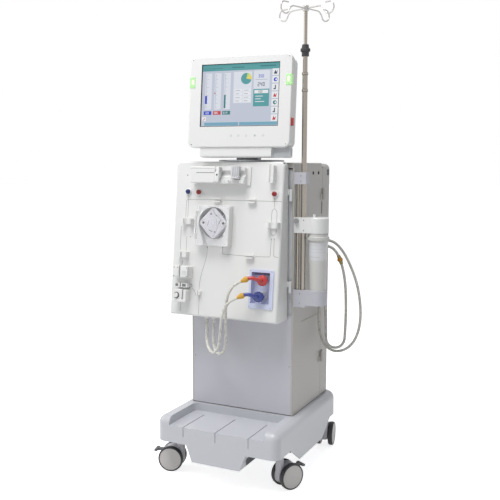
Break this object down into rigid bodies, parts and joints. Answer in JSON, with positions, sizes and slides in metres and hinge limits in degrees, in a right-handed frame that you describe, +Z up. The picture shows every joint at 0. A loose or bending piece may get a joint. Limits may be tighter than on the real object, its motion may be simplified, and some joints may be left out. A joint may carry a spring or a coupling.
{
  "type": "dialysis machine",
  "caption": "Wheeled dialysis machine with a tilting monitor, a swing-out front door with pumps and clips, a filter canister, an infusion pole and a tray base.",
  "frame": {"origin": "floor under the middle of the bounding box of everything but the hoses", "axes": "+X to the right seen from the front, +Y to the back, +Z up; the front faces -Y"},
  "size_m": [0.7231, 0.6794, 1.7785],
  "materials": {
    "shell": "smooth warm white",
    "base": "smooth light grey",
    "panel": "fine texture warm grey",
    "front": "satin lavender grey",
    "frame": "powder coat grey",
    "steel": "satin",
    "chrome": "polished",
    "grey": "light grey",
    "dark": "black",
    "tyre": "black",
    "clear": "clear",
    "bluewhite": "bluish white",
    "red": "red",
    "blue": "blue",
    "yellow": "amber yellow",
    "hose": "translucent clear",
    "greyhose": "grey",
    "screen": "glossy display",
    "lamp": "green",
    "filter": "white",
    "cast": "satin"
  },
  "bodies": {
    "chassis": {"base_cover": "base", "chassis_frame": "frame", "lower_front_panel": "front", "left_side_panel": "panel", "right_side_panel": "panel", "top_cover": "panel", "hydraulic_block": "grey", "power_supply": "steel", "pole_clamp_bracket": "front", "filter_upper_bracket": "shell", "filter_lower_bracket": "shell", "filter_canister": "filter", "pole_outer_tube": "steel", "hose_ports": "grey", "water_hose": "greyhose", "drain_hose": "greyhose", "hose_coupling": "yellow"},
    "rear_door": {"rear_door": "panel"},
    "front_door": {"front_door": "shell", "door_back_plate": "steel", "blood_pump_housing": "shell", "syringe_pump_housing": "shell", "pressure_port_blue": "blue", "pressure_ports_red": "red", "tubing_holders": "shell", "air_detector": "shell", "tube_clamp_block": "shell", "rinse_bridge": "bluewhite", "red_coupling": "red", "blue_coupling": "blue", "hose_adapters": "yellow", "dialysate_hose_red": "hose", "dialysate_hose_blue": "hose"},
    "pump_rotor": {"pump_rotor": "cast"},
    "pump_roller_a": {"pump_roller_a": "steel"},
    "pump_roller_b": {"pump_roller_b": "steel"},
    "pump_cover": {"pump_cover": "clear"},
    "syringe_carriage": {"syringe_carriage": "grey"},
    "syringe_clamp": {"syringe_clamp": "grey"},
    "clamp_plunger": {"clamp_plunger": "grey"},
    "monitor_turntable": {"monitor_turntable": "grey"},
    "monitor": {"monitor_bezel": "shell", "screen_panel": "screen", "monitor_rear_housing": "shell", "status_lights": "lamp"},
    "side_button": {"side_button": "red"},
    "pole_inner": {"pole_inner_tube": "steel", "pole_hooks": "chrome"},
    "pole_lock_nut": {"pole_lock_nut": "dark"},
    "clamp_knob": {"clamp_knob": "grey"},
    "caster_fork_fl": {"caster_fork_fl": "grey"},
    "caster_wheel_fl": {"caster_wheel_fl": "tyre"},
    "brake_pedal_fl": {"brake_pedal_fl": "grey"},
    "caster_fork_fr": {"caster_fork_fr": "grey"},
    "caster_wheel_fr": {"caster_wheel_fr": "tyre"},
    "brake_pedal_fr": {"brake_pedal_fr": "grey"},
    "caster_fork_rl": {"caster_fork_rl": "grey"},
    "caster_wheel_rl": {"caster_wheel_rl": "tyre"},
    "caster_fork_rr": {"caster_fork_rr": "grey"},
    "caster_wheel_rr": {"caster_wheel_rr": "tyre"}
  },
  "joints": [
    {"name": "front_door_swing", "type": "hinge", "parent": "chassis", "child": "front_door", "pos_m": [0.18034, -0.13067, 0.7], "axis": [0, 0, 1], "range_deg": [0, 70]},
    {"name": "rear_door_swing", "type": "hinge", "parent": "chassis", "child": "rear_door", "pos_m": [0.19834, 0.17133, 0.7], "axis": [0, 0, -1], "range_deg": [0, 85]},
    {"name": "pump_rotor_spin", "type": "hinge", "parent": "front_door", "child": "pump_rotor", "pos_m": [-0.10066, -0.19108, 0.98486], "axis": [0, -0.9941, 0.1085], "continuous": true},
    {"name": "pump_roller_a_spin", "type": "hinge", "parent": "pump_rotor", "child": "pump_roller_a", "pos_m": [-0.14166, -0.19108, 0.98486], "axis": [0, -0.9941, 0.1085], "continuous": true},
    {"name": "pump_roller_b_spin", "type": "hinge", "parent": "pump_rotor", "child": "pump_roller_b", "pos_m": [-0.05966, -0.19108, 0.98486], "axis": [0, -0.9941, 0.1085], "continuous": true},
    {"name": "pump_cover_swing", "type": "hinge", "parent": "front_door", "child": "pump_cover", "pos_m": [-0.17466, -0.22942, 0.92668], "axis": [0, -0.1085, -0.9941], "range_deg": [0, 110]},
    {"name": "syringe_carriage_slide", "type": "slide", "parent": "front_door", "child": "syringe_carriage", "axis": [1, 0, 0], "range_m": [-0.003, 0.045]},
    {"name": "syringe_clamp_slide", "type": "slide", "parent": "front_door", "child": "syringe_clamp", "axis": [0, -0.9941, 0.1085], "range_m": [0, 0.012]},
    {"name": "clamp_plunger_slide", "type": "slide", "parent": "front_door", "child": "clamp_plunger", "axis": [0, 0.9941, -0.1085], "range_m": [0, 0.004], "stiffness_N_per_m": 800},
    {"name": "monitor_swivel", "type": "hinge", "parent": "chassis", "child": "monitor_turntable", "pos_m": [-0.02766, -0.03467, 1.219], "axis": [0, 0, 1], "range_deg": [-50, 10]},
    {"name": "monitor_tilt", "type": "hinge", "parent": "monitor_turntable", "child": "monitor", "pos_m": [-0.02494, -0.06455, 1.312], "axis": [-0.9959, -0.0906, 0], "range_deg": [-2, 15]},
    {"name": "side_button_press", "type": "slide", "parent": "monitor", "child": "side_button", "axis": [-0.9959, -0.0906, 0], "range_m": [0, 0.003], "stiffness_N_per_m": 600},
    {"name": "pole_height", "type": "slide", "parent": "chassis", "child": "pole_inner", "axis": [0, 0, 1], "range_m": [-0.08, 0.12]},
    {"name": "pole_lock_nut_turn", "type": "hinge", "parent": "chassis", "child": "pole_lock_nut", "pos_m": [0.22434, -0.11267, 1.598], "axis": [0, 0, 1], "range_deg": [-90, 90]},
    {"name": "clamp_knob_turn", "type": "hinge", "parent": "chassis", "child": "clamp_knob", "pos_m": [0.20334, -0.12867, 1.001], "axis": [0, -1, 0], "range_deg": [-180, 180]},
    {"name": "caster_swivel_fl", "type": "hinge", "parent": "chassis", "child": "caster_fork_fl", "pos_m": [-0.24166, -0.22767, 0.15], "axis": [0, 0, 1], "continuous": true},
    {"name": "caster_wheel_fl_spin", "type": "hinge", "parent": "caster_fork_fl", "child": "caster_wheel_fl", "pos_m": [-0.27546, -0.23673, 0.05], "axis": [0.2588, -0.9659, 0], "continuous": true},
    {"name": "brake_pedal_fl_press", "type": "hinge", "parent": "caster_fork_fl", "child": "brake_pedal_fl", "pos_m": [-0.30154, -0.24372, 0.077], "axis": [0.2588, -0.9659, 0], "range_deg": [0, 14]},
    {"name": "caster_swivel_fr", "type": "hinge", "parent": "chassis", "child": "caster_fork_fr", "pos_m": [0.18634, -0.22767, 0.15], "axis": [0, 0, 1], "continuous": true},
    {"name": "caster_wheel_fr_spin", "type": "hinge", "parent": "caster_fork_fr", "child": "caster_wheel_fr", "pos_m": [0.20384, -0.19736, 0.05], "axis": [-0.866, 0.5, 0], "continuous": true},
    {"name": "brake_pedal_fr_press", "type": "hinge", "parent": "caster_fork_fr", "child": "brake_pedal_fr", "pos_m": [0.21734, -0.17398, 0.077], "axis": [-0.866, 0.5, 0], "range_deg": [0, 14]},
    {"name": "caster_swivel_rl", "type": "hinge", "parent": "chassis", "child": "caster_fork_rl", "pos_m": [-0.24166, 0.25033, 0.15], "axis": [0, 0, 1], "continuous": true},
    {"name": "caster_wheel_rl_spin", "type": "hinge", "parent": "caster_fork_rl", "child": "caster_wheel_rl", "pos_m": [-0.238, 0.28514, 0.05], "axis": [-0.9945, 0.1045, 0], "continuous": true},
    {"name": "caster_swivel_rr", "type": "hinge", "parent": "chassis", "child": "caster_fork_rr", "pos_m": [0.18634, 0.25033, 0.15], "axis": [0, 0, 1], "continuous": true},
    {"name": "caster_wheel_rr_spin", "type": "hinge", "parent": "caster_fork_rr", "child": "caster_wheel_rr", "pos_m": [0.18027, 0.2848, 0.05], "axis": [-0.9848, -0.1736, 0], "continuous": true}
  ]
}
